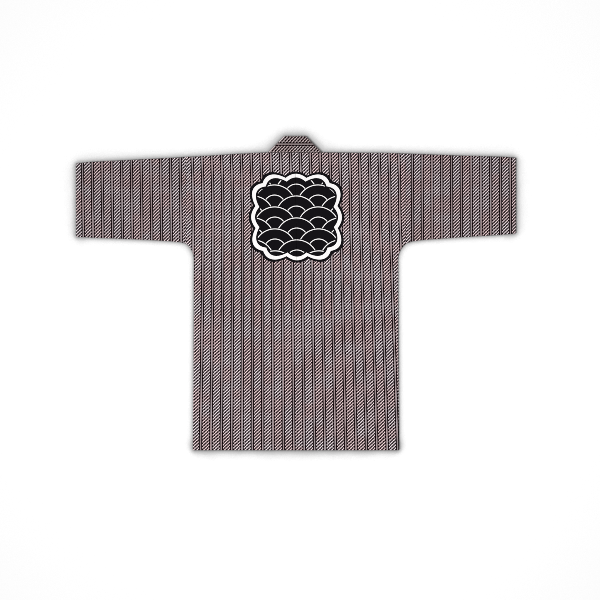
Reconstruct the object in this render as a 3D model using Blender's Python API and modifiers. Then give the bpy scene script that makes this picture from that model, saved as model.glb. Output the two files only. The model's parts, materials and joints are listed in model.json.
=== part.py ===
"""Happi coat laid flat on its front, with the back uppermost.

Units are metres and +Z is up. As the back is seen, +X runs to the right-hand cuff and +Y runs up
the back to the collar. The origin is the middle of the coat's footprint, on the surface it lies on.

The coat is cut the traditional way from narrow cloth. Two body lengths run from the back hem over
the shoulder to the front hem and meet down the middle of the back. Each sleeve is one width of
cloth, folded at the top and sewn along the underside. The collar is one long doubled band: it
crosses the back of the neck, folds over at both neck points and runs down both front edges.

"out" is the distance from the middle of the back towards a cuff, on either side.
"""

import math
from collections import namedtuple

import bmesh
import bpy
import numpy as np

# Cloth
WALL = 0.0012
SEAM_GAP = 0.0003

# Sizes of the coat, laid flat
CUFF_TO_CUFF = 1.280
COAT_LENGTH = 0.8675
BAND_WIDTH = 0.0466
ARMHOLE_OUT = 0.320
SIDE_OUT_AT_UNDERARM = 0.297
SIDE_OUT_AT_HEM = 0.300
NECK_HALF = 0.078
BAND_INSIDE_AT_HEM = 0.006
FOLD_CORNER_RISE = 0.0006

# Heights along Y
HEM_Y = -(COAT_LENGTH + BAND_WIDTH + FOLD_CORNER_RISE) / 2
NECK_Y = HEM_Y + COAT_LENGTH
UNDERARM_DROP = 0.2655
UNDERARM_Y = NECK_Y - UNDERARM_DROP
UNDERARM_CURVE_DEPTH = 0.055
UNDERARM_CURVE_POWER = 2.7
CURVE_END_Y = UNDERARM_Y - UNDERARM_CURVE_DEPTH
JUST_UNDER_ARM_Y = UNDERARM_Y - 0.0001
FRONT_HEM_LIFT = 0.002
FRONT_SIDE_INSET = 0.001
NECK_SEAM_GAP = 0.0005

# How the middle of the back leans as the coat lies: sideways shift at three heights
LEAN_Y = (HEM_Y, 0.090, NECK_Y)
LEAN_X = (0.004, 0.003, -0.003)
LEAN_FADES_FROM = 0.200
LEAN_FADES_OVER = 0.100

# The fall of the shoulder line and of the sleeve's underside below the neck point
SleeveLine = namedtuple("SleeveLine", "out top_left under_left top_right under_right")
SLEEVE_LINES = (
    SleeveLine(0.078, 0.0000, UNDERARM_DROP, 0.0000, UNDERARM_DROP),
    SleeveLine(0.172, 0.0044, UNDERARM_DROP, 0.0008, UNDERARM_DROP),
    SleeveLine(0.254, 0.0100, UNDERARM_DROP, 0.0015, UNDERARM_DROP),
    SleeveLine(ARMHOLE_OUT, 0.0132, UNDERARM_DROP, 0.0035, UNDERARM_DROP),
    SleeveLine(0.338, 0.0145, 0.2610, 0.0042, 0.2590),
    SleeveLine(0.373, 0.0165, 0.2580, 0.0055, 0.2545),
    SleeveLine(0.478, 0.0218, 0.2523, 0.0095, 0.2472),
    SleeveLine(0.595, 0.0275, 0.2480, 0.0125, 0.2400),
    SleeveLine(CUFF_TO_CUFF / 2, 0.0320, 0.2455, 0.0155, 0.2360),
)

# Mid heights of the cloth above the surface it lies on
LOWER_LEVEL = WALL / 2
EDGE_LEVEL = 0.0023
LOFT_LEVEL = 0.0030
SHOULDER_LEVEL = 0.0038
LOFT_REACH = 0.035
SHOULDER_ROLL_FLAT = 0.006
SHOULDER_ROLL_REACH = 0.045

# The back hem and the cuffs are turned in, so four thicknesses of cloth lie there
HEM_LEVEL = 0.0041
HEM_OVER_BAND = 0.0050
HEM_TURN = 0.020
HEM_FADE = 0.040

# The collar band: two thicknesses of cloth and their interlining
BAND_THICK = 0.0030
BAND_FOLD_RADIUS = 0.0018
BAND_LOW = BAND_THICK / 2
BAND_HIGH = BAND_LOW + 2 * BAND_FOLD_RADIUS
OVER_BAND_ROOM = 0.0001
OVER_BAND = BAND_THICK + SEAM_GAP + WALL / 2 + OVER_BAND_ROOM
OVER_BAND_OUT = 0.082
OVER_BAND_FADE = 0.060
NECK_LEVEL_REACH = 0.070
NECK_FOLD_REACH = 0.070
BAND_END_LIFT = 0.003
NECK_POINT_CLEARANCE = 0.0006

# The run of the band leans inwards towards the hem, so its fold is a little over 45 degrees
BAND_SLANT = math.atan((NECK_HALF - BAND_WIDTH - BAND_INSIDE_AT_HEM) / COAT_LENGTH)
FOLD_ANGLE = math.radians(45) + BAND_SLANT / 2
FOLD_FOOT = NECK_HALF - (BAND_FOLD_RADIUS + BAND_THICK / 2) / math.sin(FOLD_ANGLE)
FOLD_LENGTH = math.pi * BAND_FOLD_RADIUS
SHOULDER_START = NECK_HALF + NECK_POINT_CLEARANCE

# Broad soft folds in the back and the upper sides of the sleeves
SoftFold = namedtuple("SoftFold", "x y turn half_length half_width rise")
SOFT_FOLDS = (
    SoftFold(-0.270, 0.205, 38, 0.085, 0.022, 0.0013),
    SoftFold(-0.190, 0.245, 62, 0.095, 0.026, 0.0010),
    SoftFold(-0.430, 0.300, 8, 0.110, 0.024, 0.0012),
    SoftFold(-0.540, 0.235, -12, 0.080, 0.022, 0.0010),
    SoftFold(0.275, 0.215, -42, 0.090, 0.024, 0.0014),
    SoftFold(0.185, 0.270, -70, 0.100, 0.024, 0.0010),
    SoftFold(0.450, 0.255, 10, 0.120, 0.024, 0.0013),
    SoftFold(0.560, 0.320, -16, 0.075, 0.022, 0.0009),
    SoftFold(-0.205, -0.080, 84, 0.190, 0.028, 0.0012),
    SoftFold(-0.110, -0.260, 97, 0.150, 0.026, 0.0011),
    SoftFold(0.120, -0.110, 88, 0.170, 0.026, 0.0010),
    SoftFold(0.215, -0.290, 80, 0.130, 0.028, 0.0013),
)
FOLDS_CLEAR_OF_EDGE = 0.050

# Rows of a body length in its four stretches: the turned hem, up to the underarm curve, round the
# curve, and from the underarm to the shoulder
BACK_STEPS = (1, 15, 6, 8)
FRONT_STEPS = (1, 4, 6, 2)
NECK_COLUMNS = 3
MAIN_COLUMNS = 10
FOLD_STEPS = 8

SLEEVE_COLUMNS = 12
SLEEVE_LOWER_STEPS = 3
SLEEVE_UPPER_STEPS = 8

BAND_COLUMNS = 3
BAND_RUN_STEPS = 18
BAND_NECK_STEPS = 8

# Corners of a grid nearer than this are one and the same
JOIN_DISTANCE = 0.00001

LEFT = -1
RIGHT = 1
SIDE_NAMES = {LEFT: "left", RIGHT: "right"}

# Printed cotton seen from a distance: the mean of its pale and dark lines, in linear colour
BODY_COLOUR = (0.195, 0.150, 0.159, 1.0)
SLEEVE_COLOUR = (0.165, 0.130, 0.135, 1.0)
COLLAR_COLOUR = (0.150, 0.118, 0.125, 1.0)
COTTON_ROUGHNESS = 0.85


def ease(value):
    """Rise smoothly from 0 to 1 as the value runs from 0 to 1, and stay level outside."""
    share = min(max(value, 0.0), 1.0)
    return share * share * (3.0 - 2.0 * share)


def mix(start, end, share):
    """Return the value that lies a share of the way from start to end."""
    return start + (end - start) * share


def line_drop(kind, side, out):
    """Read how far the "top" or "under" line of a side has fallen at a distance out."""
    field = f"{kind}_{SIDE_NAMES[side]}"
    outs = [line.out for line in SLEEVE_LINES]
    drops = [getattr(line, field) for line in SLEEVE_LINES]
    return float(np.interp(out, outs, drops))


def top_y(side, out):
    """Height of the shoulder line, the outer edge of the fold along the top."""
    return NECK_Y - line_drop("top", side, out)


def under_y(side, out):
    """Height of the sleeve's underside."""
    return NECK_Y - line_drop("under", side, out)


def hem_share(from_end):
    """How nearly a place lies in a turned-in hem, 1 in it and 0 well away from the cloth's end."""
    return 1.0 - ease((from_end - HEM_TURN) / HEM_FADE)


def shoulder_level(out):
    """Mid height of the cloth where the fold along the top begins: higher by the neck and cuff."""
    level = mix(BAND_HIGH, SHOULDER_LEVEL, ease((out - SHOULDER_START) / NECK_FOLD_REACH))
    return mix(level, HEM_LEVEL, hem_share(CUFF_TO_CUFF / 2 - out))


def under_level(out):
    """Mid height of the cloth where it turns round the sleeve's underside."""
    return mix(EDGE_LEVEL, HEM_LEVEL, hem_share(CUFF_TO_CUFF / 2 - out))


def shoulder_radius(out):
    """Mid radius of the fold along the top."""
    return (shoulder_level(out) - LOWER_LEVEL) / 2


def fold_start_y(side, out):
    """Height where the back or the upper side of a sleeve turns into the fold along the top."""
    return top_y(side, out) - shoulder_radius(out) - WALL / 2


def side_edge_out(y):
    """Outer edge of a body length: armhole seam, underarm curve, then side seam."""
    if y >= UNDERARM_Y:
        return ARMHOLE_OUT - SEAM_GAP / 2
    seam = mix(SIDE_OUT_AT_UNDERARM, SIDE_OUT_AT_HEM, (CURVE_END_Y - y) / (CURVE_END_Y - HEM_Y))
    if y <= CURVE_END_Y:
        return seam
    climbed = (y - CURVE_END_Y) / UNDERARM_CURVE_DEPTH
    return mix(SIDE_OUT_AT_UNDERARM, ARMHOLE_OUT - SEAM_GAP / 2, climbed ** UNDERARM_CURVE_POWER)


def soft_folds(x, y):
    """Add up the broad soft folds at a place: each is a long low mound."""
    rise = 0.0
    for fold in SOFT_FOLDS:
        turn = math.radians(fold.turn)
        along = (x - fold.x) * math.cos(turn) + (y - fold.y) * math.sin(turn)
        across = (y - fold.y) * math.cos(turn) - (x - fold.x) * math.sin(turn)
        rise += fold.rise * math.exp(-(along / fold.half_length) ** 2 - (across / fold.half_width) ** 2)
    return rise


def upper_level(side, out, y):
    """Mid height of the uppermost cloth: low at seams, higher at hems, over the band and at the fold."""
    beside = max(side_edge_out(min(y, JUST_UNDER_ARM_Y)) - out, 0.0)
    above = max(y - under_y(side, out), 0.0)
    from_edge = math.hypot(beside, above)
    level = mix(EDGE_LEVEL, LOFT_LEVEL, ease(from_edge / LOFT_REACH))
    over_band = 1.0 - ease((out - OVER_BAND_OUT) / OVER_BAND_FADE)
    level = mix(level, OVER_BAND, over_band)
    level += soft_folds(side * out, y) * ease(from_edge / FOLDS_CLEAR_OF_EDGE)
    in_hem = hem_share(min(y - HEM_Y, CUFF_TO_CUFF / 2 - out))
    level = mix(level, mix(HEM_LEVEL, HEM_OVER_BAND, over_band), in_hem)
    if out <= SHOULDER_START:
        return mix(level, BAND_HIGH, 1.0 - ease((NECK_Y - SHOULDER_ROLL_FLAT - y) / NECK_LEVEL_REACH))
    from_top = top_y(side, out) - y
    rolled = 1.0 - ease((from_top - SHOULDER_ROLL_FLAT) / SHOULDER_ROLL_REACH)
    beside_neck = 1.0 - ease((out - SHOULDER_START) / NECK_FOLD_REACH)
    near_neck = 1.0 - ease((from_top - SHOULDER_ROLL_FLAT) / NECK_LEVEL_REACH)
    return mix(level, shoulder_level(out), mix(rolled, near_neck, beside_neck))


def lean(x, y):
    """Shift of a point sideways, because the middle of the back doesn't lie quite straight."""
    shift = float(np.interp(y, LEAN_Y, LEAN_X))
    return shift * (1.0 - ease((abs(x) - LEAN_FADES_FROM) / LEAN_FADES_OVER))


def placed(side, out, y, z):
    """Turn a distance out on one side into a point of the coat as it lies."""
    x = side * out
    return (x + lean(x, y), y, z)


def band_outer_out(y):
    """Outer edge of the collar band's run down the front, where the front is sewn to it."""
    turn_end_y = NECK_Y + FOLD_LENGTH * math.cos(FOLD_ANGLE)
    return FOLD_FOOT + FOLD_LENGTH * math.sin(FOLD_ANGLE) - (turn_end_y - y) * math.tan(BAND_SLANT)


def front_inner_out(y):
    """Inner edge of the front: beside the band, and clear of its fold at the neck point."""
    return band_outer_out(y) + SHOULDER_START - band_outer_out(NECK_Y)


def stretch_marks(steps):
    """List the marks of consecutive stretches: whole numbers where one ends and the next begins."""
    marks = [index + step / count for index, count in enumerate(steps) for step in range(count)]
    return marks + [float(len(steps))]


def body_rows():
    """List the rows of a body length as (layer, mark), up the back, over the fold, down the front."""
    back = [("back", mark) for mark in stretch_marks(BACK_STEPS)]
    fold = [("fold", math.pi * step / FOLD_STEPS) for step in range(1, FOLD_STEPS)]
    front = [("front", mark) for mark in reversed(stretch_marks(FRONT_STEPS))]
    return back + fold + front


def body_row_y(side, out, mark, hem_y):
    """Height of a row's mark: hem, its turn, end of the underarm curve, underarm, start of the fold."""
    heights = (hem_y, hem_y + HEM_TURN, CURVE_END_Y, UNDERARM_Y, fold_start_y(side, out))
    return float(np.interp(mark, range(len(heights)), heights))


def body_point(side, rows, column, row):
    """Place one corner of a body length's grid."""
    layer, mark = rows[row]
    share = (column - NECK_COLUMNS) / MAIN_COLUMNS
    if column < NECK_COLUMNS:
        out = mix(SEAM_GAP / 2, SHOULDER_START, column / NECK_COLUMNS)
        y = body_row_y(side, SHOULDER_START, mark, HEM_Y)
        if layer == "fold":
            y = NECK_Y - NECK_SEAM_GAP
        return placed(side, out, y, upper_level(side, out, y))
    along_top = mix(SHOULDER_START, ARMHOLE_OUT - SEAM_GAP / 2, share)
    if layer == "fold":
        radius = shoulder_radius(along_top)
        y = fold_start_y(side, along_top) + radius * math.sin(mark)
        return placed(side, along_top, y, LOWER_LEVEL + radius * (1 + math.cos(mark)))
    if layer == "back":
        y = body_row_y(side, along_top, mark, HEM_Y)
        out = mix(SHOULDER_START, side_edge_out(y), share)
        level = shoulder_level(out) if mark == len(BACK_STEPS) else upper_level(side, out, y)
        return placed(side, out, y, level)
    y = body_row_y(side, along_top, mark, HEM_Y + FRONT_HEM_LIFT)
    inset = FRONT_SIDE_INSET if y < UNDERARM_Y else 0.0
    out = mix(front_inner_out(y), side_edge_out(y) - inset, share)
    return placed(side, out, y, LOWER_LEVEL)


def sleeve_rows():
    """List the rows round a sleeve: lower side, fold at the top, upper side, seam at the underside."""
    lower = [("lower", step / SLEEVE_LOWER_STEPS) for step in range(SLEEVE_LOWER_STEPS + 1)]
    top = [("top", math.pi * step / FOLD_STEPS) for step in range(1, FOLD_STEPS)]
    upper = [("upper", step / SLEEVE_UPPER_STEPS) for step in range(SLEEVE_UPPER_STEPS + 1)]
    under = [("under", math.pi * step / FOLD_STEPS) for step in range(1, FOLD_STEPS)]
    return lower + top + upper + under


def sleeve_point(side, rows, column, row):
    """Place one corner of a sleeve's grid; the last row meets the first again."""
    layer, mark = rows[row % len(rows)]
    out = mix(ARMHOLE_OUT + SEAM_GAP / 2, CUFF_TO_CUFF / 2, column / SLEEVE_COLUMNS)
    under_radius = (under_level(out) - LOWER_LEVEL) / 2
    bottom = under_y(side, out) + under_radius + WALL / 2
    top = fold_start_y(side, out)
    if layer == "lower":
        return placed(side, out, mix(bottom, top, mark), LOWER_LEVEL)
    if layer == "top":
        radius = shoulder_radius(out)
        return placed(side, out, top + radius * math.sin(mark), LOWER_LEVEL + radius * (1 - math.cos(mark)))
    if layer == "under":
        y = bottom - under_radius * math.sin(mark)
        return placed(side, out, y, LOWER_LEVEL + under_radius * (1 + math.cos(mark)))
    y = mix(top, bottom, mark)
    if mark == 0.0:
        return placed(side, out, y, shoulder_level(out))
    if mark == 1.0:
        return placed(side, out, y, under_level(out))
    return placed(side, out, y, upper_level(side, out, y))


def band_rows():
    """List the rows of the collar band, from the left front hem round the neck to the right one."""
    run = [("run", step / BAND_RUN_STEPS) for step in range(BAND_RUN_STEPS, -1, -1)]
    fold = [("fold", step / FOLD_STEPS) for step in range(FOLD_STEPS - 1, 0, -1)]
    left = [(LEFT, layer, mark) for layer, mark in run + fold]
    neck = [(RIGHT, "neck", -1 + 2 * step / BAND_NECK_STEPS) for step in range(BAND_NECK_STEPS + 1)]
    right = [(RIGHT, layer, mark) for _, layer, mark in reversed(left)]
    return left + neck + right


def band_point(rows, column, row):
    """Place one corner of the band, which is folded over a line through each neck point.

    A point at a distance beyond the fold line goes round a half cylinder as long as the distance
    is less than half its girth, and from there on it lies mirrored, underneath.
    """
    side, layer, mark = rows[row]
    across = BAND_WIDTH * column / BAND_COLUMNS
    sine, cosine = math.sin(FOLD_ANGLE), math.cos(FOLD_ANGLE)
    line_out = FOLD_FOOT - across * cosine / sine
    if layer == "neck":
        return placed(side, mark * line_out, NECK_Y + across, BAND_HIGH)
    end_y = HEM_Y + BAND_END_LIFT
    whole = (NECK_Y + across + FOLD_LENGTH * cosine - end_y) / math.sin(2 * FOLD_ANGLE)
    turned = FOLD_LENGTH / sine
    beyond = mark * turned if layer == "fold" else mix(turned, whole, mark)
    past_line = beyond * sine
    if layer == "fold":
        angle = past_line / BAND_FOLD_RADIUS
        offset = BAND_FOLD_RADIUS * math.sin(angle)
        z = BAND_HIGH - BAND_FOLD_RADIUS * (1 - math.cos(angle))
    else:
        offset = FOLD_LENGTH - past_line
        z = BAND_LOW
    out = line_out + beyond * cosine * cosine + offset * sine
    y = NECK_Y + across - beyond * cosine * sine + offset * cosine
    return placed(side, out, y, z)


def cotton(name, colour):
    """Make the material of one piece: matt printed cotton."""
    material = bpy.data.materials.new(name)
    material.use_nodes = True
    shader = material.node_tree.nodes["Principled BSDF"]
    shader.inputs["Base Color"].default_value = colour
    shader.inputs["Roughness"].default_value = COTTON_ROUGHNESS
    shader.inputs["Metallic"].default_value = 0.0
    material.diffuse_color = colour
    return material


def cloth_object(name, columns, rows, place, left_out, wall, material, collection):
    """Make a piece of cloth: a grid bent into its shape, with an even wall.

    place(column, row) gives each corner of the grid, and left_out(column, row) is true for each
    square that the cut leaves out. Corners that fall together are joined, as along a tube's seam.
    """
    shape = bmesh.new()
    bmesh.ops.create_grid(shape, x_segments=columns, y_segments=rows, size=0.5)
    unwanted = []
    for face in shape.faces:
        middle = face.calc_center_median()
        if left_out(int((middle.x + 0.5) * columns), int((middle.y + 0.5) * rows)):
            unwanted.append(face)
    bmesh.ops.delete(shape, geom=unwanted, context="FACES")
    for corner in shape.verts:
        corner.co = place(round((corner.co.x + 0.5) * columns), round((corner.co.y + 0.5) * rows))
    bmesh.ops.remove_doubles(shape, verts=shape.verts, dist=JOIN_DISTANCE)
    mesh = bpy.data.meshes.new(name)
    shape.to_mesh(mesh)
    shape.free()
    mesh.shade_smooth()
    mesh.materials.append(material)
    piece = bpy.data.objects.new(name, mesh)
    collection.objects.link(piece)
    thickness = piece.modifiers.new("Cloth wall", "SOLIDIFY")
    thickness.thickness = wall
    thickness.offset = 0.0
    thickness.use_even_offset = True
    return piece


def nothing(_column, _row):
    """Leave no square out."""
    return False


def build_body(side, material, collection):
    """Build one body length: back and front in one, with the neck cut out of the front."""
    rows = body_rows()
    neck_row = sum(BACK_STEPS) + 1

    def place(column, row):
        return body_point(side, rows, column, row)

    def cut_for_neck(column, row):
        return column < NECK_COLUMNS and row >= neck_row

    name = f"body_{SIDE_NAMES[side]}"
    columns = NECK_COLUMNS + MAIN_COLUMNS
    return cloth_object(name, columns, len(rows) - 1, place, cut_for_neck, WALL, material, collection)


def build_sleeve(side, material, collection):
    """Build one sleeve: a flat tube, open at the armhole and at the cuff."""
    rows = sleeve_rows()

    def place(column, row):
        return sleeve_point(side, rows, column, row)

    name = f"sleeve_{SIDE_NAMES[side]}"
    return cloth_object(name, SLEEVE_COLUMNS, len(rows), place, nothing, WALL, material, collection)


def build_collar(material, collection):
    """Build the collar: one band, doubled, so its wall is thicker."""
    rows = band_rows()

    def place(column, row):
        return band_point(rows, column, row)

    return cloth_object("collar", BAND_COLUMNS, len(rows) - 1, place, nothing, BAND_THICK, material, collection)


def main():
    """Clear the scene and build the coat."""
    for old in list(bpy.data.objects):
        bpy.data.objects.remove(old, do_unlink=True)
    collection = bpy.data.collections.new("happi_coat")
    bpy.context.scene.collection.children.link(collection)
    for side in (LEFT, RIGHT):
        name = SIDE_NAMES[side]
        build_body(side, cotton(f"printed_cotton_body_{name}", BODY_COLOUR), collection)
        build_sleeve(side, cotton(f"printed_cotton_sleeve_{name}", SLEEVE_COLOUR), collection)
    build_collar(cotton("printed_cotton_collar", COLLAR_COLOUR), collection)


main()
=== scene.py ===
"""Happi coat laid flat on its front with the back uppermost: its looks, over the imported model.

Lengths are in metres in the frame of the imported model, where not said otherwise: +X runs to the
right-hand cuff, +Y up the back to the collar and +Z up from the surface that the coat lies on. "out"
is the distance from the middle of the back towards a cuff, on either side.

The coat is five pieces of cloth: two body lengths that run from the back hem over the shoulder to the
front hem, two sleeves that are flat tubes, and one doubled collar band. Each is a thin shell worked
out on a grid, and carries a map in metres of the flat cloth, which its woven stripe is drawn on.
"""

import json
import logging
import math
from dataclasses import dataclass
from enum import Enum

import bmesh
import bpy
import numpy as np
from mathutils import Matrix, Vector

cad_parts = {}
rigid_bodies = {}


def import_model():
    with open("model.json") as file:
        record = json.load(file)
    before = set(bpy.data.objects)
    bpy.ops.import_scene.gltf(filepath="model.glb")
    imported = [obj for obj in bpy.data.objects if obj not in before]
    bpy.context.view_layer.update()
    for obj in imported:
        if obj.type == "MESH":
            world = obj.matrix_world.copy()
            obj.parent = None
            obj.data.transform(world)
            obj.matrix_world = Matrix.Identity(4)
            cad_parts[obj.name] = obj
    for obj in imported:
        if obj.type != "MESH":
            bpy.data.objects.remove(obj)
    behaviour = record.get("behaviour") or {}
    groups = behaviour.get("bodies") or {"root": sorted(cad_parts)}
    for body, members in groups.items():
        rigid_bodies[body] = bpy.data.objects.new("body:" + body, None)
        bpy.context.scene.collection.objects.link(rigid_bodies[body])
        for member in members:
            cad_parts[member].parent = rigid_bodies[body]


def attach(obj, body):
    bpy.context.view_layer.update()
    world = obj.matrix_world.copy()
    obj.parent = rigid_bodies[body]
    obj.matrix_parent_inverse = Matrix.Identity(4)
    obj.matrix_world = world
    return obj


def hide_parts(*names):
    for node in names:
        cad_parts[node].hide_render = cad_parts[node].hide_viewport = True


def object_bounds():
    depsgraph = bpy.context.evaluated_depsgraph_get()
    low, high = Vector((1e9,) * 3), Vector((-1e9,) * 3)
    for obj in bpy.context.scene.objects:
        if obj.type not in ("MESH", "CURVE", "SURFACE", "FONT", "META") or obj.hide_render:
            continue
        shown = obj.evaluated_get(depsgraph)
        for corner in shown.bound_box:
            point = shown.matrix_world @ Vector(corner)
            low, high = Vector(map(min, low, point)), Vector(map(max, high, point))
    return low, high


log = logging.getLogger("happi_coat")

for startup_object in list(bpy.data.objects):
    bpy.data.objects.remove(startup_object, do_unlink=True)
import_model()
cad_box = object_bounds()

CLOTH_MAP = "flat_cloth"
MM = 0.001
Array = np.ndarray
Material = bpy.types.Material
Piece = bpy.types.Object


class Side(Enum):
    """Which half of the coat, as the back is seen; the value is the sign of x there."""

    LEFT = -1
    RIGHT = 1

    @property
    def word(self) -> str:
        """The side's name in lower case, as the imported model's nodes have it."""
        return self.name.lower()


def ease(value: Array) -> Array:
    """Rise smoothly from 0 to 1 as the value runs from 0 to 1: three squares less two cubes."""
    share = np.clip(value, 0.0, 1.0)
    return share * share * (3.0 - 2.0 * share)


def mix(start: Array, end: Array, share: Array) -> Array:
    """Return the value that lies a share of the way from start to end."""
    return start + (end - start) * share


def bell(distance: Array, width: float) -> Array:
    """Fall from 1 in both directions: exp(-(distance / width)^2)."""
    return np.exp(-((distance / width) ** 2))


@dataclass(frozen=True)
class Crease:
    """One long low ridge in the cloth, in millimetres and degrees.

    The middle is at (x, y) and the ridge runs at turn from +X. It is a bell along its length times a
    bell across it, steeper on one side, and its line bends by bow at its ends.
    """

    x: float
    y: float
    turn: float
    half_length: float
    half_width: float
    rise: float
    bow: float = 0.0
    steeper: float = 0.25

    def height(self, x: Array, y: Array) -> Array:
        """Work out the ridge's height in metres.

        Args:
            x: places along X.
            y: places along Y, of the same shape.

        Returns:
            rise * bell(along) * bell(across), with the bell across wider on one side of the line.
        """
        turn = math.radians(self.turn)
        x, y = x / MM - self.x, y / MM - self.y
        along = x * math.cos(turn) + y * math.sin(turn)
        across = y * math.cos(turn) - x * math.sin(turn) - self.bow * (along / self.half_length) ** 2
        width = self.half_width * (1.0 + self.steeper * np.tanh(across / self.half_width))
        return self.rise * MM * bell(along, self.half_length) * bell(across, width)


@dataclass(frozen=True)
class Ripple:
    """One of the slow waves that keep pressed cotton from lying like a board, in millimetres."""

    length: float
    turn: float
    start: float
    rise: float

    def height(self, x: Array, y: Array) -> Array:
        """Work out the wave's height in metres.

        Args:
            x: places along X.
            y: places along Y, of the same shape.

        Returns:
            rise times the sine of the distance along turn, counted in wave lengths.
        """
        turn = math.radians(self.turn)
        waves = (x * math.cos(turn) + y * math.sin(turn)) / (self.length * MM)
        return self.rise * MM * np.sin(2.0 * math.pi * waves + self.start)


# The broad soft folds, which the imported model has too. Here and in the other tables of creases, each
# row is x, y, turn, half length, half width, rise and bow.
BROAD_FOLDS = tuple(
    Crease(*row)
    for row in (
        (-270, 205, 38, 85, 22, 1.3),
        (-190, 245, 62, 95, 26, 1),
        (-430, 300, 8, 110, 24, 1.2),
        (-540, 235, -12, 80, 22, 1),
        (275, 215, -42, 90, 24, 1.4),
        (185, 270, -70, 100, 24, 1),
        (450, 255, 10, 120, 24, 1.3),
        (560, 320, -16, 75, 22, 0.9),
        (-205, -80, 84, 190, 28, 1.2),
        (-110, -260, 97, 150, 26, 1.1),
        (120, -110, 88, 170, 26, 1),
        (215, -290, 80, 130, 28, 1.3),
    )
)

# Narrower creases: drawn out from the underarms, down the back, and slanting across the sleeves
FINE_CREASES = tuple(
    Crease(*row)
    for row in (
        (-292, 168, 52, 42, 8, 1.1, 4),
        (-262, 158, 24, 50, 8.5, 0.8, -5),
        (-325, 196, 84, 45, 9, 0.9, 3),
        (-352, 182, 128, 40, 8, 0.8, 4),
        (-268, 90, 71, 60, 9, 0.9, -6),
        (290, 170, -50, 46, 8, 1.2, -4),
        (258, 150, -20, 48, 9, 0.8, 5),
        (327, 205, -82, 50, 8.5, 1, -3),
        (356, 180, 48, 42, 8, 0.9, -4),
        (266, 70, -74, 70, 9.5, 0.9, 6),
        (-385, 345, 66, 48, 11, 0.7, 6),
        (-447, 228, 104, 52, 10, 0.7, -4),
        (-492, 330, 82, 40, 9, 0.6, 3),
        (-588, 268, 96, 60, 10, 0.7, 4),
        (-520, 186, 12, 45, 8.5, 0.6, 3),
        (396, 352, -64, 50, 11, 0.8, -6),
        (437, 203, 78, 46, 10, 0.7, 4),
        (506, 318, 99, 48, 9.5, 0.7, -4),
        (596, 252, 85, 60, 10.5, 0.7, 4),
        (534, 190, -10, 44, 8.5, 0.6, -3),
        (-232, -205, 88, 120, 11, 0.8, 10),
        (-158, -30, 94, 100, 10, 0.6, -6),
        (-262, -330, 82, 75, 9.5, 0.8, 6),
        (-63, -165, 91, 110, 10.5, 0.6, 7),
        (-188, -388, 101, 62, 10, 0.7, -6),
        (58, -318, 85, 92, 10, 0.7, -7),
        (168, -215, 95, 118, 11, 0.7, 9),
        (255, -115, 86, 100, 10.5, 0.8, -8),
        (268, -352, 94, 70, 9.5, 0.8, 6),
        (118, -402, 78, 58, 9.5, 0.6, 4),
        (-212, 352, 22, 70, 11, 0.7, 8),
        (222, 362, -18, 66, 10.5, 0.7, -8),
        (-176, 80, 12, 80, 13, 0.5, 10),
        (196, 46, -9, 85, 13, 0.5, -10),
        (10, -52, 4, 110, 14, 0.5, 12),
    )
)

# Low ridges of the side that the coat lies on: they lift away from the surface, never below it
UNDERSIDE_CREASES = tuple(
    Crease(*row)
    for row in (
        (-235, -270, 86, 120, 11, 0.6, 8),
        (-140, -120, 95, 110, 12, 0.5, -6),
        (-210, 60, 76, 90, 10, 0.6, 6),
        (-130, 240, 104, 80, 11, 0.5, 5),
        (-278, 160, 48, 50, 9, 0.6, 4),
        (225, -310, 93, 110, 11, 0.6, -8),
        (130, -170, 84, 120, 12, 0.5, 7),
        (205, 30, 101, 90, 10.5, 0.6, -6),
        (140, 260, 72, 75, 11, 0.5, -5),
        (280, 160, -46, 50, 9, 0.6, -4),
        (-410, 270, 70, 60, 11, 0.5, 5),
        (-540, 300, 99, 55, 10, 0.5, -4),
        (430, 300, 108, 60, 11, 0.5, 5),
        (570, 250, 80, 55, 10, 0.5, 4),
    )
)

RIPPLES = (
    Ripple(91, 12, 0.4, 0.12),
    Ripple(63, 71, 1.9, 0.10),
    Ripple(47, 128, 3.1, 0.08),
    Ripple(139, 155, 5.2, 0.14),
    Ripple(34, 38, 2.6, 0.05),
)

# The sleeves' outline in millimetres. Each row is a distance out, then how far the shoulder line and
# the underside have fallen below the neck point there on the left, then the same on the right.
UNDERARM_FALL = 265.5
SLEEVE_FALLS = MM * np.array(
    [
        [78, 0.0, UNDERARM_FALL, 0.0, UNDERARM_FALL],
        [172, 4.4, UNDERARM_FALL, 0.8, UNDERARM_FALL],
        [254, 10.0, UNDERARM_FALL, 1.5, UNDERARM_FALL],
        [320, 13.2, UNDERARM_FALL, 3.5, UNDERARM_FALL],
        [338, 14.5, 261.0, 4.2, 259.0],
        [373, 16.5, 258.0, 5.5, 254.5],
        [478, 21.8, 252.3, 9.5, 247.2],
        [595, 27.5, 248.0, 12.5, 240.0],
        [640, 32.0, 245.5, 15.5, 236.0],
    ]
)


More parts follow.
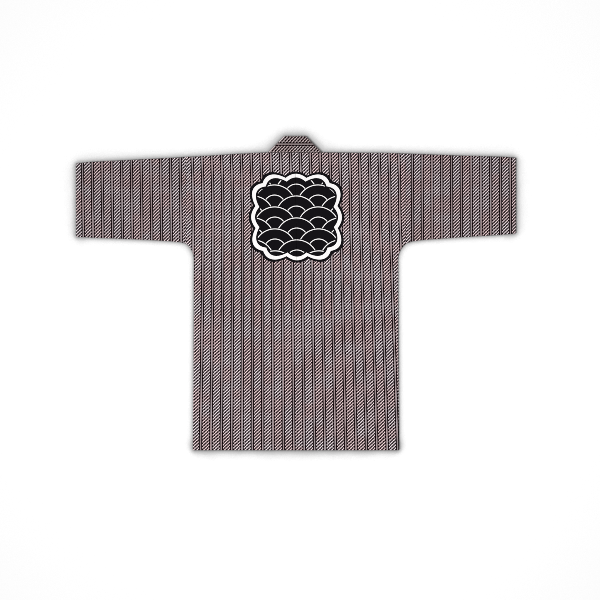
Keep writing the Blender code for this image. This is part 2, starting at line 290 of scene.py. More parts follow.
@dataclass(frozen=True)
class Lie:
    """The coat's sizes and the heights at which its cloth lies.

    Levels are mid heights of the cloth above the surface, where not said otherwise. Puckers reach
    pucker_reach from the middle seam, the armhole and the sewn edge, and have the two wave lengths of
    pucker_up along Y and of pucker_out along X. lean_shift is at the hem, at lean_y and at the neck.
    """

    half_span: float
    hem_y: float
    cloth: float = 0.0010
    seam_gap: float = 0.0003
    coat_length: float = 0.8675
    band_width: float = 0.0466
    band_thick: float = 0.0030
    armhole_out: float = 0.320
    side_at_underarm: float = 0.297
    side_at_hem: float = 0.300
    neck_half: float = 0.078
    neck_point_clearance: float = 0.0006
    neck_seam_gap: float = 0.0005
    underarm_curve: float = 0.055
    curve_power: float = 2.7
    front_hem_lift: float = 0.002
    lip: float = 0.0008
    hem_turn: float = 0.020
    hem_fade: float = 0.016
    hem_fold: float = 0.00055
    hem_end: float = 0.002
    turn_steps: int = 6
    return_steps: int = 4
    edge_level: float = 0.0023
    loft_level: float = 0.0030
    loft_reach: float = 0.035
    shoulder_level: float = 0.0038
    hem_level: float = 0.0041
    over_band: float = 0.0040
    hem_over_band: float = 0.0050
    over_band_out: float = 0.082
    over_band_fade: float = 0.060
    roll_flat: float = 0.006
    roll_reach: float = 0.045
    neck_reach: float = 0.070
    band_fold: float = 0.0018
    band_in_at_hem: float = 0.006
    band_end_lift: float = 0.003
    relief: float = 1.8
    free_reach: float = 0.030
    under_fold_reach: float = 0.035
    pucker_rise: float = 0.00018
    pucker_reach: tuple[float, ...] = (0.009, 0.010, 0.008)
    pucker_up: tuple[float, ...] = (0.0027, 0.0171)
    pucker_out: tuple[float, ...] = (0.0031, 0.0190)
    pucker_start: tuple[float, ...] = (1.3, 0.8)
    pucker_from_top: float = 0.020
    stitch_in: float = 0.001
    stitch_dent: float = 0.00025
    stitch_dent_width: float = 0.0016
    lean_y: float = 0.090
    lean_shift: tuple[float, ...] = (0.004, 0.003, -0.003)
    lean_within: float = 0.200
    lean_fade: float = 0.100

    @property
    def neck_y(self) -> float:
        """Height of the neck seam, where the back meets the collar band."""
        return self.hem_y + self.coat_length

    @property
    def underarm_y(self) -> float:
        """Height of the underarm."""
        return self.neck_y - UNDERARM_FALL * MM

    @property
    def curve_end_y(self) -> float:
        """Height where the underarm curve runs into the side seam."""
        return self.underarm_y - self.underarm_curve

    @property
    def floor_level(self) -> float:
        """Mid height of the cloth that lies on the surface."""
        return self.cloth / 2

    @property
    def band_high(self) -> float:
        """Mid height of the band across the back of the neck, folded over its runs down the fronts."""
        return self.band_thick / 2 + 2 * self.band_fold

    @property
    def shoulder_start(self) -> float:
        """Where the shoulder line begins, just outside the neck point."""
        return self.neck_half + self.neck_point_clearance

    def top_y(self, side: Side, out: Array) -> Array:
        """Height of the shoulder line, the outer edge of the fold along the top."""
        return self.neck_y - np.interp(out, SLEEVE_FALLS[:, 0], SLEEVE_FALLS[:, side.value + 2])

    def under_y(self, side: Side, out: Array) -> Array:
        """Height of a sleeve's underside."""
        return self.neck_y - np.interp(out, SLEEVE_FALLS[:, 0], SLEEVE_FALLS[:, side.value + 3])

    def hem_share(self, from_end: Array) -> Array:
        """How nearly a place lies in a turned-in hem: 1 in it, 0 well away from the cloth's end."""
        return 1.0 - ease((from_end - self.hem_turn) / self.hem_fade)

    def fold_level(self, out: Array) -> Array:
        """Level where the fold along the top begins: highest at the neck, then at the cuff."""
        level = mix(self.band_high, self.shoulder_level, ease((out - self.shoulder_start) / self.neck_reach))
        return mix(level, self.hem_level, self.hem_share(self.half_span - out))

    def under_level(self, out: Array) -> Array:
        """Level where the cloth turns round a sleeve's underside."""
        return mix(self.edge_level, self.hem_level, self.hem_share(self.half_span - out))

    def side_edge(self, y: Array) -> Array:
        """Outer face of a body length: straight side seam, then a power curve, then the armhole.

        Args:
            y: heights on the body.

        Returns:
            Distances out. In the curve the edge moves from the side seam to the armhole by the share
            climbed to the power 2.7.
        """
        down = (self.curve_end_y - y) / (self.curve_end_y - self.hem_y)
        seam = mix(self.side_at_underarm, self.side_at_hem, np.clip(down, 0.0, 1.0))
        climbed = np.clip((y - self.curve_end_y) / self.underarm_curve, 0.0, 1.0)
        return mix(seam, self.armhole_out - self.seam_gap / 2, climbed**self.curve_power)

    def from_seams(self, side: Side, out: Array, y: Array) -> Array:
        """Work out the distance from the sewn outline.

        Args:
            side: the half of the coat.
            out: distances from the middle of the back.
            y: heights, of the same shape.

        Returns:
            Distances from the side seam, the underarm or the sleeve's underside: the length of what
            lies between, out and up.
        """
        below_curve = np.minimum(y, self.underarm_y - self.seam_gap)
        beside = np.maximum(self.side_edge(below_curve) - out, 0.0)
        return np.hypot(beside, np.maximum(y - self.under_y(side, out), 0.0))

    def pucker(self, side: Side, out: Array, y: Array) -> Array:
        """Small gathers where the thread draws the cloth in along the long seams.

        Args:
            side: the half of the coat.
            out: distances from the middle of the back.
            y: heights.

        Returns:
            Heights of at most about 0.2 mm: a wave along each seam, with two lengths multiplied so
            that no two gathers are alike, which dies away over a few millimetres from the seam.
        """
        middle_reach, armhole_reach, edge_reach = self.pucker_reach
        across_seams = bell(out, middle_reach) + bell(out - self.armhole_out, armhole_reach)
        edge = bell(self.from_seams(side, out, y), edge_reach)
        start, slow_start = self.pucker_start
        fine, slow = self.pucker_up
        along_y = np.sin(y / fine + start * side.value) * np.sin(y / slow + slow_start)
        fine, slow = self.pucker_out
        along_out = np.sin(out / fine) * np.sin(out / slow + side.value)
        seams = across_seams * along_y + edge * np.where(out > self.armhole_out, along_out, along_y)
        return self.pucker_rise * seams

    def upper_level(self, side: Side, out: Array, y: Array) -> Array:
        """Level of the uppermost cloth.

        Args:
            side: the half of the coat.
            out: distances from the middle of the back.
            y: heights, of the same shape.

        Returns:
            Levels: low along sewn edges, higher in the open cloth, over the collar band beneath, in the
            turned-in hems and at the fold along the top, with the folds, creases and ripples added.
        """
        from_edge = self.from_seams(side, out, y)
        from_top = self.top_y(side, out) - y
        level = mix(self.edge_level, self.loft_level, ease(from_edge / self.loft_reach))
        over_band = 1.0 - ease((out - self.over_band_out) / self.over_band_fade)
        level = mix(level, self.over_band, over_band)
        in_hem = self.hem_share(np.minimum(y - self.hem_y, self.half_span - out))
        level = mix(level, mix(self.hem_level, self.hem_over_band, over_band), in_hem)
        near_neck = 1.0 - ease((self.neck_y - self.roll_flat - y) / self.neck_reach)
        rolled = 1.0 - ease((from_top - self.roll_flat) / self.roll_reach)
        beside_neck = 1.0 - ease((out - self.shoulder_start) / self.neck_reach)
        rolled = np.where(out <= self.shoulder_start, near_neck, mix(rolled, near_neck, beside_neck))
        level = mix(level, self.fold_level(out), rolled)
        x = side.value * out
        worn = self.relief * sum(wave.height(x, y) for wave in FINE_CREASES + RIPPLES)
        worn = worn + sum(fold.height(x, y) for fold in BROAD_FOLDS)
        free = ease(from_edge / self.free_reach) * ease((from_top - self.roll_flat) / self.free_reach)
        seam_in = self.hem_turn - self.stitch_in
        stitched = bell(y - self.hem_y - seam_in, self.stitch_dent_width)
        stitched = stitched + bell(self.half_span - seam_in - out, self.stitch_dent_width)
        gathers = self.pucker(side, out, y) * ease(from_top / self.pucker_from_top)
        return level + worn * free + gathers - self.stitch_dent * stitched

    def lower_level(self, side: Side, out: Array, y: Array) -> Array:
        """Level of the cloth that the coat lies on.

        Args:
            side: the half of the coat.
            out: distances from the middle of the back.
            y: heights, of the same shape.

        Returns:
            Levels: flat, with a few low ridges that die away towards the edges, hems and band.
        """
        free = ease((self.top_y(side, out) - y) / self.under_fold_reach)
        clearances = (
            self.from_seams(side, out, y),
            y - self.hem_y - self.hem_turn,
            self.half_span - self.hem_turn - out,
            out - self.over_band_out,
        )
        for clearance in clearances:
            free = free * ease(clearance / self.free_reach)
        ridges = sum(fold.height(side.value * out, y) for fold in UNDERSIDE_CREASES)
        return self.floor_level + self.relief * ridges * free

    def lean(self, x: Array, y: Array) -> Array:
        """Sideways shift, because the middle of the back doesn't lie quite straight."""
        shift = np.interp(y, (self.hem_y, self.lean_y, self.neck_y), self.lean_shift)
        return shift * (1.0 - ease((np.abs(x) - self.lean_within) / self.lean_fade))

    def hem_profile(self) -> tuple[Array, Array, Array, Array]:
        """Profile of a turned-in hem from its fold inwards: a half circle, then a straight run back.

        Returns:
            How far the cloth reaches beyond the start of its fold, how far it drops, the distance
            along it, and the share of the turn that is made.
        """
        angle = np.linspace(0.0, math.pi, self.turn_steps + 1)[1:]
        back = np.linspace(0.0, self.hem_turn - self.hem_end, self.return_steps + 1)[1:]
        reach = np.concatenate([self.hem_fold * np.sin(angle), -back])
        drop = np.concatenate([self.hem_fold * (1.0 - np.cos(angle)), 2.0 * self.hem_fold + 0.0 * back])
        along = np.concatenate([self.hem_fold * angle, self.hem_fold * math.pi + back])
        return reach, drop, along, np.concatenate([angle / math.pi, 1.0 + 0.0 * back])

    def placed(self, side: Side, out: Array, y: Array, z: Array) -> Array:
        """Turn distances out on one side into points of the coat as it lies."""
        x = side.value * out
        return np.stack([x + self.lean(x, y), y, z], axis=-1)


@dataclass(frozen=True)
class StripeLie:
    """How the woven stripe lies on the coat, as the chains are counted across the back.

    On the body, a chain runs down the middle of the back, and the columns stand a little wider apart
    towards the hem. On a sleeve, the first double line lies 15 to 19 mm from the armhole seam, and
    on the left one it leans a little.
    """

    pitch: float = 0.0289
    middle_y: tuple[float, ...] = (-0.457, -0.150, 0.010, 0.330, 0.410)
    middle_x: tuple[float, ...] = (0.0090, 0.0062, 0.0045, 0.0006, -0.0018)
    spread_y: tuple[float, ...] = (-0.430, -0.150, 0.010, 0.230, 0.330, 0.410)
    spread: tuple[float, ...] = (1.045, 1.021, 1.007, 0.991, 0.992, 0.993)
    sleeve_line_y: tuple[float, ...] = (0.190, 0.390)
    sleeve_line_left: tuple[float, ...] = (0.3347, 0.3372)
    sleeve_line_right: tuple[float, ...] = (0.3398, 0.3390)
    sleeve_pitch: float = 0.0285
    band_line_across: float = 0.02395

    def body_across(self, x: Array, y: Array) -> Array:
        """Place across the flat cloth of the body, counted from the chain at its middle."""
        return (x - np.interp(y, self.middle_y, self.middle_x)) / np.interp(y, self.spread_y, self.spread)

    def sleeve_across(self, side: Side, out: Array, y: Array) -> Array:
        """Place across the flat cloth of a sleeve.

        Args:
            side: which sleeve.
            out: distances out, as if the cloth were flat.
            y: heights.

        Returns:
            Places in metres that grow with x, with the first double line half a pitch from 0.
        """
        lines = self.sleeve_line_left if side is Side.LEFT else self.sleeve_line_right
        pitches = (out - np.interp(y, self.sleeve_line_y, lines)) / self.sleeve_pitch + 0.5
        return side.value * pitches * self.pitch

    def band_across(self, across: Array) -> Array:
        """Place across the cloth of the collar band, which has one double line near its middle."""
        return across - self.band_line_across + self.pitch / 2


@dataclass
class ClothGrid:
    """Points of a piece of cloth on a grid, and where each lies on the flat cloth.

    points is rows x columns x 3 and flat is rows x columns x 2. left_out is true for each square of
    the grid that the cut leaves out. Where wraps is true, the last row falls on the first.
    """

    points: Array
    flat: Array
    left_out: Array | None = None
    wraps: bool = False

    def mesh(self, name: str, inside_out: bool) -> bpy.types.Mesh:
        """Make the grid a mesh, with its flat cloth as a UV map.

        Args:
            name: the mesh's name.
            inside_out: true where the grid's rows and columns turn the other way round.

        Returns:
            The mesh, smooth shaded, with only the corners that its faces use.
        """
        rows, columns = self.points.shape[:2]
        corner = np.arange(rows * columns).reshape(rows, columns)
        squares = np.stack([corner[:-1, :-1], corner[:-1, 1:], corner[1:, 1:], corner[1:, :-1]], axis=-1)
        kept = np.ones((rows - 1, columns - 1), bool) if self.left_out is None else ~self.left_out
        squares = squares[kept]
        if inside_out:
            squares = squares[:, ::-1]
        flat = self.flat.reshape(-1, 2)[squares.ravel()]
        if self.wraps:
            squares = squares % ((rows - 1) * columns)
        used, squares = np.unique(squares, return_inverse=True)
        mesh = bpy.data.meshes.new(name)
        mesh.from_pydata(self.points.reshape(-1, 3)[used], [], squares.reshape(-1, 4))
        mesh.uv_layers.new(name=CLOTH_MAP).data.foreach_set("uv", flat.astype(np.float32).ravel())
        mesh.shade_smooth()
        return mesh


def add_piece(
    mesh: bpy.types.Mesh, material: Material, node: str = "", wall: float = 0.0
) -> Piece:
    """Put a finished mesh into the scene as a piece that rides on the coat.

    Args:
        mesh: the piece's mesh, named and in its place.
        material: what it is made of.
        node: the solid that it stands for, if it stands for one.
        wall: thickness for a sheet, half to each side.

    Returns:
        The new object, at the origin.
    """
    piece = bpy.data.objects.new(mesh.name, mesh)
    bpy.context.scene.collection.objects.link(piece)
    mesh.materials.append(material)
    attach(piece, "root")
    if node:
        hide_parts(node)
    if wall:
        thickness = piece.modifiers.new("Cloth thickness", "SOLIDIFY")
        thickness.thickness = wall
        thickness.offset = 0.0
        thickness.use_even_offset = True
    log.info("%s: %d faces", piece.name, len(mesh.polygons))
    return piece


@dataclass
class BodyLength:
    """One body length: back and front in one, with the neck cut out of the front.

    The grid's rows run from the turned-in back hem up the back, over the shoulder and down the front
    to its own turned-in hem. Its columns run from the middle of the back to the side. At the seams the
    cloth turns in through a quarter circle, so that two pieces meet lip to lip.
    """

    side: Side
    lie: Lie
    stripe: StripeLie
    back_steps: tuple[int, ...] = (15, 100, 16, 54)
    front_steps: tuple[int, ...] = (8, 52, 10, 28)
    fold_steps: int = 12
    neck_columns: int = 16
    main_columns: int = 48
    lip_steps: int = 4
    above_hem: float = 0.004
    hem_room: float = 0.0018
    point_reach: float = 0.010

    def __post_init__(self) -> None:
        """Lay out the columns: which are over the neck, their share of the way, and their lips."""
        lips = np.linspace(math.pi / 2, 0.0, self.lip_steps + 1)
        neck = np.linspace(0.0, 1.0, self.neck_columns + 1)[1:-1]
        main = np.linspace(0.0, 1.0, self.main_columns + 1)[1:]
        blank = [np.zeros(count) for count in (len(lips), len(neck), len(lips), len(main), self.lip_steps)]
        self.share = np.concatenate([blank[0], neck, blank[2], main, blank[4] + 1.0])
        self.centre_angle = np.concatenate([lips, *blank[1:]])
        self.inner_angle = np.concatenate([*blank[:2], lips, *blank[3:]])
        self.outer_angle = np.concatenate([*blank[:4], lips[::-1][1:]])
        self.in_neck = np.arange(len(self.share)) < len(lips) + len(neck)

    def across(self, inner: Array, outer: Array, inner_lip: Array) -> tuple[Array, Array, Array]:
        """Place the columns between two faces.

        Args:
            inner: inner face of the cloth for each row, used outside the neck.
            outer: outer face of the cloth for each row.
            inner_lip: how far the inner edge turns in, from 0 on the back to 1 on the front.

        Returns:
            Distances out, the same as if the cloth were flat, and how far the cloth has dropped. A lip
            of radius r goes out by r sin(angle) and drops by r (1 - cos(angle)).
        """
        lip, half = self.lie.lip, self.lie.cloth / 2
        run = lip * math.pi / 2
        inner, outer, inner_lip = inner[:, None], outer[:, None], inner_lip[:, None]
        centre = self.lie.seam_gap / 2 + half + lip
        neck = mix(centre, self.lie.shoulder_start, self.share)
        main = inner + run - lip * self.inner_angle + self.share * (outer - half - lip - inner - run)
        flat = np.where(self.in_neck, neck, main)
        turned = np.sin(self.outer_angle) - np.sin(self.centre_angle)
        inner_shift = half + lip * (1.0 - np.sin(self.inner_angle)) - (run - lip * self.inner_angle)
        out = flat + lip * turned + inner_lip * np.where(self.in_neck, 0.0, inner_shift)
        drop = lip * (2.0 - np.cos(self.outer_angle) - np.cos(self.centre_angle))
        drop = drop + inner_lip * lip * (1.0 - np.cos(self.inner_angle))
        return out, flat + lip * (self.outer_angle - self.centre_angle), drop

    def fold(self) -> tuple[Array, Array, Array]:
        """Work out the fold along the top.

        Returns:
            For each column, the height where the fold starts, its radius and its level. Over the
            neck the radius shrinks to that of a lip.
        """
        lie = self.lie
        outer = lie.side_edge(np.array([lie.neck_y]))
        top_out = self.across(np.array([lie.shoulder_start]), outer, np.zeros(1))[0][0]
        level = lie.fold_level(top_out)
        near_point = ease((top_out - lie.shoulder_start + self.point_reach) / self.point_reach)
        radius = (level - lie.floor_level) / 2
        radius = np.where(self.in_neck, mix(lie.lip, radius, near_point), radius)
        gap = np.where(self.in_neck, lie.neck_seam_gap * (1.0 - near_point), 0.0)
        return lie.top_y(self.side, top_out) - gap - radius - lie.cloth / 2, radius, level

    def heights(self, steps: tuple[int, ...], hem_y: float, start_y: Array) -> Array:
        """Heights of the rows of a front or back.

        Args:
            steps: how many rows there are in the hem, up to the curve, round it, and above it.
            hem_y: height where the rows begin.
            start_y: for each column, the height where the fold along the top starts.

        Returns:
            Heights, rows x columns.
        """
        marks = np.concatenate([index + np.arange(count) / count for index, count in enumerate(steps)])
        marks = np.append(marks, 4.0)[:, None]
        lie = self.lie
        turns = (hem_y, hem_y + lie.hem_turn + self.above_hem, lie.curve_end_y, lie.underarm_y)
        upper_rows = mix(lie.underarm_y, start_y[None, :], np.clip(marks - 3.0, 0.0, 1.0))
        return np.where(marks <= 3.0, np.interp(marks, range(4), turns), upper_rows)

    def front_inner(self, y: Array) -> Array:
        """Inner face of the front, beside the collar band and clear of its fold at the neck point."""
        slope = (self.lie.neck_half - self.lie.band_width - self.lie.band_in_at_hem) / self.lie.coat_length
        return self.lie.shoulder_start - (self.lie.neck_y - y) * slope

    def layer(
        self, y: Array, lower: bool, drop_y: Array | float = 0.0, turned: Array | float = 0.0
    ) -> tuple[Array, Array, Array]:
        """Lay some rows of the back or the front.

        Args:
            y: heights, rows x columns.
            lower: true for the front, which lies underneath.
            drop_y: how far each row has turned in at a hem.
            turned: the share of a hem's turn at each row, which draws its sides in to clear the seams.

        Returns:
            Distances out, the same as if the cloth were flat, and heights above the surface.
        """
        lie = self.lie
        drop_y, turned = np.reshape(drop_y, (-1, 1)), np.reshape(turned, (-1, 1))
        outer = lie.side_edge(y[:, 0])
        inner = self.front_inner(y[:, 0]) if lower else np.full(len(y), lie.shoulder_start)
        out, flat, drop = self.across(inner, outer, np.full(len(y), float(lower)))
        first = inner[:, None] if lower else lie.seam_gap / 2
        share = (out - first) / (outer[:, None] - first)
        out = mix(out, mix(first + self.hem_room, outer[:, None] - self.hem_room, share), turned)
        drop = drop * (1.0 - turned) + drop_y
        if lower:
            return out, flat, lie.lower_level(self.side, out, y) + drop
        return out, flat, lie.upper_level(self.side, out, y) - drop

    def grid(self) -> ClothGrid:
        """Work out the whole grid, layer by layer.

        Returns:
            The grid: the back's turned-in hem, the back, the fold along the top, the front and its
            hem. From the middle of that fold on, the columns over the neck are left out.
        """
        lie = self.lie
        start_y, radius, level = self.fold()
        hem_start = lie.hem_y + lie.cloth / 2 + lie.hem_fold
        front_start = hem_start + lie.front_hem_lift
        back_y = self.heights(self.back_steps, hem_start, start_y)
        front_y = self.heights(self.front_steps, front_start, start_y)[::-1]
        hem_reach, hem_drop, hem_along, hem_turned = lie.hem_profile()
        hem_y = hem_start - hem_reach[:, None] + 0.0 * start_y
        hem_along = hem_along[:, None] + 0.0 * start_y

        angle = np.linspace(0.0, math.pi, self.fold_steps + 1)[1:-1, None]
        zeros = 0.0 * angle[:, 0]
        outer = lie.side_edge(lie.neck_y + zeros)
        out, flat, drop = self.across(lie.shoulder_start + zeros, outer, ease(angle[:, 0] / math.pi))
        fold_y = start_y + (radius - drop) * np.sin(angle)
        fold_z = level - radius + (radius - drop) * np.cos(angle)

        heights = (hem_y[::-1], back_y, fold_y, front_y, hem_y + lie.front_hem_lift)
        layers = (
            self.layer(heights[0], False, hem_drop[::-1], hem_turned[::-1]),
            self.layer(back_y, False),
            (out, flat, fold_z),
            self.layer(front_y, True),
            self.layer(heights[4], True, hem_drop, hem_turned),
        )
        over = start_y + math.pi * radius
        along = (
            hem_start - hem_along[::-1],
            back_y,
            start_y + radius * angle,
            over + start_y - front_y,
            over + start_y - front_start + hem_along,
        )
        out, flat, z = (np.concatenate(part) for part in zip(*layers))
        y = np.concatenate(heights)
        pattern_y = np.clip(y, lie.hem_y, lie.neck_y)
        flat_x = self.side.value * flat
        across = self.stripe.body_across(flat_x + lie.lean(flat_x, pattern_y), pattern_y)
        left_out = np.zeros((len(y) - 1, len(start_y) - 1), bool)
        quarter_row = len(hem_y) + len(back_y) + self.fold_steps // 2 - 1
        left_out[quarter_row:, : int(self.in_neck.sum())] = True
        flat_cloth = np.stack([across, np.concatenate(along)], axis=-1)
        return ClothGrid(lie.placed(self.side, out, y, z), flat_cloth, left_out)

    def build(self, material: Material) -> Piece:
        """Make the piece and let it stand for its solid."""
        mesh = self.grid().mesh(f"body_{self.side.word}_cloth", self.side is Side.LEFT)
        return add_piece(mesh, material, f"body_{self.side.word}", self.lie.cloth)


@dataclass
class Sleeve:
    """One sleeve: a flat tube with its seam at the underside, turned in at the cuff.

    The grid's rows run round the tube from its seam, along the lower side, over the fold at the top,
    down the upper side and back to the seam. Its columns run from the armhole to the cuff and back in.
    """

    side: Side
    lie: Lie
    stripe: StripeLie
    flat_steps: int = 46
    fold_steps: int = 12
    seam_steps: int = 6
    columns: int = 62
    hem_columns: int = 12
    lip_steps: int = 4
    notch_depth: float = 0.35
    notch_angle: float = 0.3

    def stations(self) -> tuple[Array, Array, Array]:
        """Lay out the columns.

        Returns:
            Distances out, distances along the flat cloth, and drops towards the inside of the tube:
            a quarter circle at the armhole, the open sleeve, then the turned-in cuff.
        """
        lie = self.lie
        lip_angle = np.linspace(math.pi / 2, 0.0, self.lip_steps + 1)
        start = lie.armhole_out + lie.seam_gap / 2 + lie.cloth / 2 + lie.lip
        end = lie.half_span - lie.cloth / 2 - lie.hem_fold
        hem_start = end - lie.hem_turn
        open_sleeve = np.linspace(start, hem_start, self.columns + 1)[1:]
        main = np.concatenate([open_sleeve, np.linspace(hem_start, end, self.hem_columns + 1)[1:]])
        reach, turn_drop, along, _ = lie.hem_profile()
        out = [start - lie.lip * np.sin(lip_angle), main, end + reach]
        flat = [start - lie.lip * lip_angle, main, end + along]
        drop = [lie.lip * (1.0 - np.cos(lip_angle)), 0.0 * main, turn_drop]
        return np.concatenate(out), np.concatenate(flat), np.concatenate(drop)

    def grid(self) -> ClothGrid:
        """Work out the tube.

        Each fold is a half circle whose radius is half the height between the two sides, less the
        drop. The seam at the underside is a notch: there the radius shrinks by a third.

        Returns:
            The tube's grid, whose last row falls on its first.
        """
        lie, side = self.lie, self.side
        out, flat_out, drop = self.stations()
        top_radius = (lie.fold_level(out) - lie.floor_level) / 2
        top = lie.top_y(side, out) - top_radius - lie.cloth / 2
        under_radius = (lie.under_level(out) - lie.floor_level) / 2
        bottom = lie.under_y(side, out) + under_radius + lie.cloth / 2
        half = np.linspace(0.0, math.pi / 2, self.seam_steps + 1)[:, None]
        notch = 1.0 - self.notch_depth * bell(math.pi / 2 - half, self.notch_angle)
        seam_radius = (under_radius - drop) * notch
        share = np.linspace(0.0, 1.0, self.flat_steps + 1)[1:-1, None]
        angle = np.linspace(0.0, math.pi, self.fold_steps + 1)[:, None]
        lower_y, upper_y = mix(bottom, top, share), mix(top, bottom, share)
        middle = lie.floor_level + under_radius
        over = top + math.pi * top_radius
        seam_y = bottom - seam_radius * np.sin(half)
        y = [seam_y[::-1], lower_y, top + (top_radius - drop) * np.sin(angle), upper_y, seam_y]
        z = [
            (middle - seam_radius * np.cos(half))[::-1],
            lie.lower_level(side, out, lower_y) + drop,
            lie.floor_level + top_radius - (top_radius - drop) * np.cos(angle),
            lie.upper_level(side, out, upper_y) - drop,
            middle + seam_radius * np.cos(half),
        ]
        along = [
            (over + top - bottom + under_radius * half)[::-1],
            over + top - lower_y,
            over - top_radius * angle,
            upper_y,
            bottom - under_radius * half,
        ]
        y, z, along = np.concatenate(y), np.concatenate(z), np.concatenate(along)
        points = lie.placed(side, np.broadcast_to(out, y.shape), y, z)
        across = self.stripe.sleeve_across(side, flat_out, y)
        return ClothGrid(points, np.stack([across, along], axis=-1), wraps=True)

    def build(self, material: Material) -> Piece:
        """Make the piece and let it stand for its solid."""
        mesh = self.grid().mesh(f"sleeve_{self.side.word}_cloth", self.side is Side.RIGHT)
        return add_piece(mesh, material, f"sleeve_{self.side.word}", self.lie.cloth)


@dataclass
class CollarBand:
    """The doubled band: down one front, over a slanting fold, across the neck and down the other.

    Its rows run along the band and its columns across it, from the seam to the free fold. It has an
    upper and a lower face, half a thickness either side of a middle surface, which meet at its rim.
    """

    lie: Lie
    stripe: StripeLie
    run_steps: int = 150
    fold_steps: int = 12
    neck_steps: int = 36
    rim_steps: int = 5
    flat_columns: int = 14
    rim: float = 0.0016
    run_end: float = 0.985
    near_end: tuple[float, ...] = (0.990, 0.995)
    line_in: float = 0.0035
    line_width: float = 0.0011
    seam_dent: float = 0.00030
    fold_dent: float = 0.00022
    dented_from: float = 0.0012

    @property
    def slant(self) -> float:
        """Angle at which each run leans inwards towards the hem."""
        inward = self.lie.neck_half - self.lie.band_width - self.lie.band_in_at_hem
        return math.atan(inward / self.lie.coat_length)

    def rim_places(self) -> Array:
        """Lay out the columns.

        Returns:
            Places across the band in one row. In its rounded rims they follow 1 - cos of an even
            angle, and so lie closer together.
        """
        width = self.lie.band_width
        rim = self.rim * (1.0 - np.cos(np.linspace(0.0, math.pi / 2, self.rim_steps + 1)))
        inside = np.linspace(self.rim, width - self.rim, self.flat_columns + 1)[1:-1]
        return np.concatenate([rim, inside, (width - rim)[::-1]])[None, :]

    def end_shares(self) -> Array:
        """Lay out the last rows of a run.

        Returns:
            Shares of the run in one column, which close up towards 1 so that the rim is round.
        """
        tail = np.linspace(0.0, math.pi / 2, self.rim_steps + 1)[1:, None]
        rim_share = self.rim / (self.lie.coat_length + self.lie.band_width)
        return np.concatenate([np.reshape(self.near_end, (-1, 1)), 1.0 - rim_share * (1.0 - np.sin(tail))])

    def round_off(self, from_edge: Array) -> Array:
        """Share of the full thickness near an edge: a quarter circle over the width of the rim."""
        left = 1.0 - np.clip(from_edge / self.rim, 0.0, 1.0)
        return np.sqrt(np.maximum(1.0 - left * left, 0.0))

    def middle(self) -> tuple[Array, Array, Array, Array]:
        """Work out the middle surface.

        A point at a distance beyond the fold line goes round a half cylinder while the distance is
        less than half its girth, and from there on it lies mirrored, underneath.

        Returns:
            Points, the direction that faces outwards, flat cloth, and the distance from the band's ends.
        """
        lie = self.lie
        angle = math.radians(45) + self.slant / 2
        sine, cosine = math.sin(angle), math.cos(angle)
        fold_length = math.pi * lie.band_fold
        foot = lie.neck_half - (lie.band_fold + lie.band_thick / 2) / sine
        across = self.rim_places()
        line_out = foot - across * cosine / sine
        fall = lie.neck_y + across + fold_length * cosine - lie.hem_y - lie.band_end_lift
        whole = fall / math.sin(2 * angle)
        turned = fold_length / sine
        fold_share = np.linspace(0.0, 1.0, self.fold_steps + 1)[1:-1, None]
        run = np.concatenate([np.linspace(0.0, self.run_end, self.run_steps)[:, None], self.end_shares()])
        beyond = np.concatenate([turned * fold_share + 0.0 * across, mix(turned, whole, run)])
        past = beyond * sine
        round_angle = np.minimum(past / lie.band_fold, math.pi)
        offset = np.where(past < fold_length, lie.band_fold * np.sin(round_angle), fold_length - past)
        z = lie.band_high - lie.band_fold * (1.0 - np.cos(round_angle))
        out = line_out + beyond * cosine * cosine + offset * sine
        y = lie.neck_y + across - beyond * cosine * sine + offset * cosine
        faces = np.stack([np.sin(round_angle) * sine, np.sin(round_angle) * cosine, np.cos(round_angle)], -1)

        mark = np.linspace(-1.0, 1.0, self.neck_steps + 1)[:, None]
        neck_out = mark * line_out
        neck_y, neck_z = lie.neck_y + across + 0.0 * mark, lie.band_high + 0.0 * neck_out
        neck = lie.placed(Side.RIGHT, neck_out, neck_y, neck_z)
        neck_faces = np.broadcast_to([0.0, 0.0, 1.0], neck.shape)
        right, left = lie.placed(Side.RIGHT, out, y, z), lie.placed(Side.LEFT, out, y, z)
        left_faces = faces * np.array([-1.0, 1.0, 1.0])
        points = np.concatenate([left[::-1], neck, right])
        directions = np.concatenate([left_faces[::-1], neck_faces, faces])
        along = np.concatenate([-(line_out + beyond)[::-1], neck_out, line_out + beyond])
        flat = np.stack([self.stripe.band_across(across) + 0.0 * along, along], axis=-1)
        ends = np.concatenate([(whole - beyond)[::-1], 1.0 + 0.0 * neck_out, whole - beyond])
        return points, directions, flat, ends

    def build(self, material: Material) -> Piece:
        """Make the band and let it stand for its solid.

        Args:
            material: the cloth.

        Returns:
            The piece: an upper and a lower face, merged at the rim, with two sewn lines pressed in.
        """
        points, directions, flat, ends = self.middle()
        across = self.rim_places()
        from_fold = self.lie.band_width - across
        full = self.lie.band_thick / 2 * self.round_off(np.minimum(across, from_fold)) * self.round_off(ends)
        dents = self.seam_dent * bell(across - self.line_in, self.line_width)
        dents = dents + self.fold_dent * bell(from_fold - self.line_in, self.line_width)
        full = np.maximum(full - dents * (full > self.dented_from), 0.0)[..., None]
        upper = ClothGrid(points + directions * full, flat).mesh("upper", True)
        lower = ClothGrid(points - directions * full, flat).mesh("lower", False)
        mesh = join_meshes("collar_cloth", (upper, lower))
        return add_piece(mesh, material, "collar")


